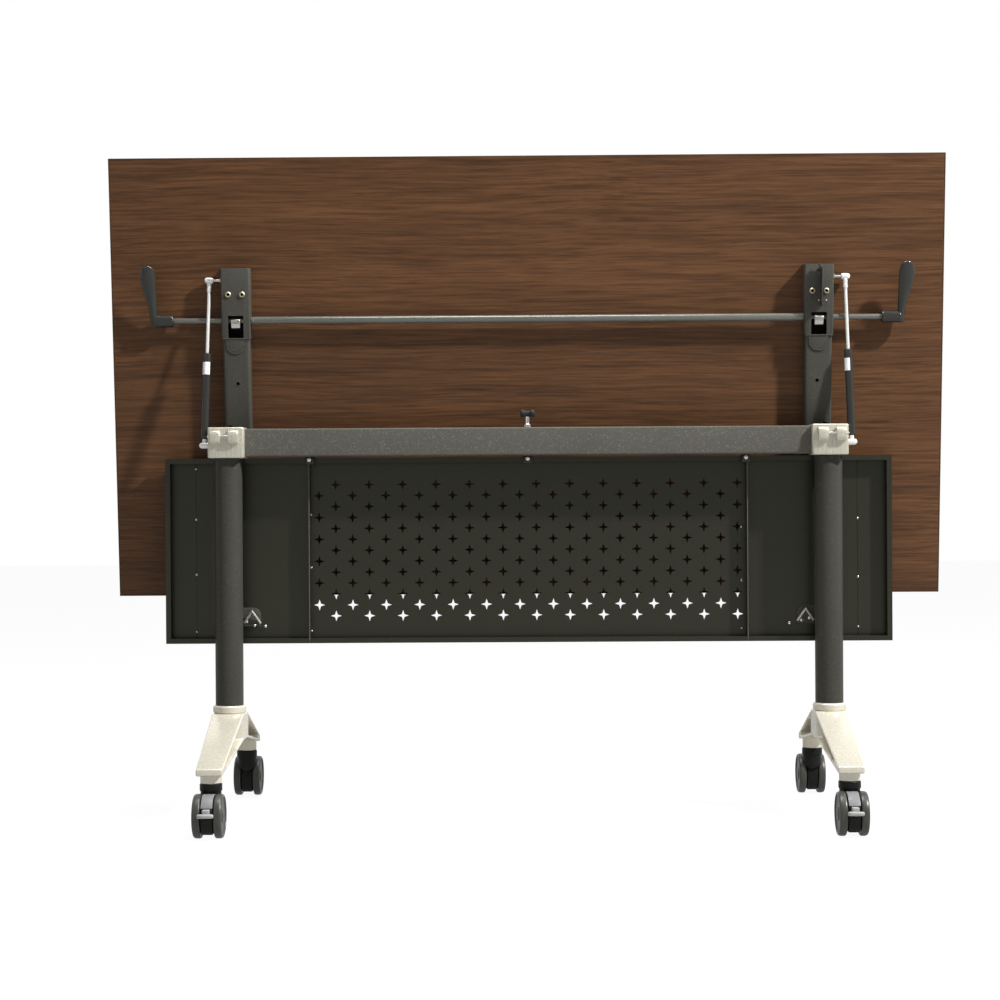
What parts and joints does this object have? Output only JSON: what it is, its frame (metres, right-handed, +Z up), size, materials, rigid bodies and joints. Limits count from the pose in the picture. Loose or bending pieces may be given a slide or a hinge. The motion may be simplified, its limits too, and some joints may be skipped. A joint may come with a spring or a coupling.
{
  "type": "flip-top training table",
  "caption": "Folding table on casters with a tilting wood top, perforated modesty panel, gas struts and release handles.",
  "frame": {"origin": "on the floor, at the middle of the bounding box", "axes": "+X along the table's width, +Y from the side with the mechanism to the side that the folded top's face looks to, +Z up"},
  "size_m": [1.5, 0.6082, 1.1819],
  "materials": {
    "walnut_laminate": "satin horizontal grain",
    "edge_band": "satin brown",
    "arm_steel": "dark satin, fine texture",
    "powder_coat": "dark grey, fine texture",
    "panel_steel": "dark olive-black satin",
    "nickel": "satin nickel",
    "polished_aluminium": "polished",
    "chrome": "bright",
    "brass": "pale, satin",
    "zinc": "zinc plated",
    "black_plastic": "glossy black",
    "tread": "matte black",
    "grey_plastic": "satin grey"
  },
  "bodies": {
    "frame": {"beam": "powder_coat", "left_bracket": "nickel", "right_bracket": "nickel", "left_hinge_pin": "zinc", "right_hinge_pin": "zinc", "left_cross_pin": "nickel", "right_cross_pin": "nickel", "left_column": "powder_coat", "right_column": "powder_coat", "left_foot": "polished_aluminium", "right_foot": "polished_aluminium", "panel_centre": "panel_steel", "left_panel_wing": "panel_steel", "right_panel_wing": "panel_steel", "left_panel_clip": "powder_coat", "right_panel_clip": "powder_coat", "bumper": "tread", "bumper_screw": "chrome"},
    "top": {"tabletop": "walnut_laminate", "edge_band": "edge_band", "left_arm": "arm_steel", "left_latch_housing": "arm_steel", "left_inner_arm_screw": "brass", "left_outer_arm_screw": "brass", "left_strut_stud": "zinc", "left_lock_spring": "zinc", "right_arm": "arm_steel", "right_latch_housing": "arm_steel", "right_inner_arm_screw": "brass", "right_outer_arm_screw": "brass", "right_strut_stud": "zinc", "right_lock_spring": "zinc"},
    "release": {"release_rod": "powder_coat", "release_sleeve": "powder_coat", "left_release_cam": "zinc", "left_handle": "black_plastic", "right_release_cam": "zinc", "right_handle": "black_plastic"},
    "left_lock": {"left_lock_bar": "zinc"},
    "left_strut_rod": {"left_strut_rod": "chrome"},
    "left_strut_cylinder": {"left_strut_cylinder": "black_plastic", "left_strut_foot": "zinc"},
    "right_lock": {"right_lock_bar": "zinc"},
    "right_strut_rod": {"right_strut_rod": "chrome"},
    "right_strut_cylinder": {"right_strut_cylinder": "black_plastic", "right_strut_foot": "zinc"},
    "front_left_caster": {"front_left_caster_fork": "black_plastic"},
    "front_left_left_wheel": {"front_left_left_wheel": "tread"},
    "front_left_right_wheel": {"front_left_right_wheel": "tread"},
    "front_left_pedal": {"front_left_brake_pedal": "grey_plastic"},
    "front_right_caster": {"front_right_caster_fork": "black_plastic"},
    "front_right_left_wheel": {"front_right_left_wheel": "tread"},
    "front_right_right_wheel": {"front_right_right_wheel": "tread"},
    "front_right_pedal": {"front_right_brake_pedal": "grey_plastic"},
    "rear_left_caster": {"rear_left_caster_fork": "black_plastic"},
    "rear_left_left_wheel": {"rear_left_left_wheel": "tread"},
    "rear_left_right_wheel": {"rear_left_right_wheel": "tread"},
    "rear_right_caster": {"rear_right_caster_fork": "black_plastic"},
    "rear_right_left_wheel": {"rear_right_left_wheel": "tread"},
    "rear_right_right_wheel": {"rear_right_right_wheel": "tread"}
  },
  "joints": [
    {"name": "top_tilt", "type": "hinge", "parent": "frame", "child": "top", "pos_m": [0, 0.00694, 0.667], "axis": [1, 0, 0], "range_deg": [0, 83.5]},
    {"name": "release_turn", "type": "hinge", "parent": "top", "child": "release", "pos_m": [0, 0.02399, 0.88835], "axis": [1, 0, 0], "range_deg": [0, 33], "stiffness_Nm_per_rad": 1.5, "springref_deg": -17.19},
    {"name": "left_lock_slide", "type": "slide", "parent": "top", "child": "left_lock", "axis": [0, -0.1132, 0.9936], "range_m": [0, 0.0045], "deforming": ["left_lock_spring"]},
    {"name": "left_strut_swing", "type": "hinge", "parent": "top", "child": "left_strut_rod", "pos_m": [-0.5708, 0.01982, 0.96034], "axis": [1, 0, 0], "range_deg": [0, 1.42]},
    {"name": "left_strut_slide", "type": "slide", "parent": "left_strut_rod", "child": "left_strut_cylinder", "axis": [0.0228, 0.09, 0.9957], "range_m": [0, 0.01825]},
    {"name": "right_lock_slide", "type": "slide", "parent": "top", "child": "right_lock", "axis": [0, -0.1132, 0.9936], "range_m": [0, 0.0045], "deforming": ["right_lock_spring"]},
    {"name": "right_strut_swing", "type": "hinge", "parent": "top", "child": "right_strut_rod", "pos_m": [0.5708, 0.01982, 0.96034], "axis": [1, 0, 0], "range_deg": [0, 1.42]},
    {"name": "right_strut_slide", "type": "slide", "parent": "right_strut_rod", "child": "right_strut_cylinder", "axis": [-0.0228, 0.09, 0.9957], "range_m": [0, 0.01825]},
    {"name": "front_left_swivel", "type": "hinge", "parent": "frame", "child": "front_left_caster", "pos_m": [-0.537, -0.22806, 0.09], "axis": [0, 0, 1], "continuous": true},
    {"name": "front_left_left_wheel_roll", "type": "hinge", "parent": "front_left_caster", "child": "front_left_left_wheel", "pos_m": [-0.537, -0.25306, 0.0375], "axis": [1, 0, 0], "continuous": true},
    {"name": "front_left_right_wheel_roll", "type": "hinge", "parent": "front_left_caster", "child": "front_left_right_wheel", "pos_m": [-0.537, -0.25306, 0.0375], "axis": [1, 0, 0], "continuous": true},
    {"name": "front_left_brake", "type": "hinge", "parent": "front_left_caster", "child": "front_left_pedal", "pos_m": [-0.537, -0.27506, 0.05], "axis": [1, 0, 0], "range_deg": [0, 10]},
    {"name": "front_right_swivel", "type": "hinge", "parent": "frame", "child": "front_right_caster", "pos_m": [0.537, -0.22806, 0.09], "axis": [0, 0, 1], "continuous": true},
    {"name": "front_right_left_wheel_roll", "type": "hinge", "parent": "front_right_caster", "child": "front_right_left_wheel", "pos_m": [0.537, -0.25306, 0.0375], "axis": [1, 0, 0], "continuous": true},
    {"name": "front_right_right_wheel_roll", "type": "hinge", "parent": "front_right_caster", "child": "front_right_right_wheel", "pos_m": [0.537, -0.25306, 0.0375], "axis": [1, 0, 0], "continuous": true},
    {"name": "front_right_brake", "type": "hinge", "parent": "front_right_caster", "child": "front_right_pedal", "pos_m": [0.537, -0.27506, 0.05], "axis": [1, 0, 0], "range_deg": [0, 10]},
    {"name": "rear_left_swivel", "type": "hinge", "parent": "frame", "child": "rear_left_caster", "pos_m": [-0.537, 0.24194, 0.09], "axis": [0, 0, 1], "continuous": true},
    {"name": "rear_left_left_wheel_roll", "type": "hinge", "parent": "rear_left_caster", "child": "rear_left_left_wheel", "pos_m": [-0.537, 0.26694, 0.0375], "axis": [-1, 0, 0], "continuous": true},
    {"name": "rear_left_right_wheel_roll", "type": "hinge", "parent": "rear_left_caster", "child": "rear_left_right_wheel", "pos_m": [-0.537, 0.26694, 0.0375], "axis": [-1, 0, 0], "continuous": true},
    {"name": "rear_right_swivel", "type": "hinge", "parent": "frame", "child": "rear_right_caster", "pos_m": [0.537, 0.24194, 0.09], "axis": [0, 0, 1], "continuous": true},
    {"name": "rear_right_left_wheel_roll", "type": "hinge", "parent": "rear_right_caster", "child": "rear_right_left_wheel", "pos_m": [0.537, 0.26694, 0.0375], "axis": [-1, 0, 0], "continuous": true},
    {"name": "rear_right_right_wheel_roll", "type": "hinge", "parent": "rear_right_caster", "child": "rear_right_right_wheel", "pos_m": [0.537, 0.26694, 0.0375], "axis": [-1, 0, 0], "continuous": true}
  ],
  "couplings": [
    {"joint": "left_lock_slide", "follows": "release_turn", "m_per_rad": 0.007805},
    {"joint": "left_strut_swing", "follows": "top_tilt", "ratio": 0.016723},
    {"joint": "left_strut_slide", "follows": "top_tilt", "m_per_rad": 0.012398},
    {"joint": "right_lock_slide", "follows": "release_turn", "m_per_rad": 0.007805},
    {"joint": "right_strut_swing", "follows": "top_tilt", "ratio": 0.016723},
    {"joint": "right_strut_slide", "follows": "top_tilt", "m_per_rad": 0.012398}
  ]
}
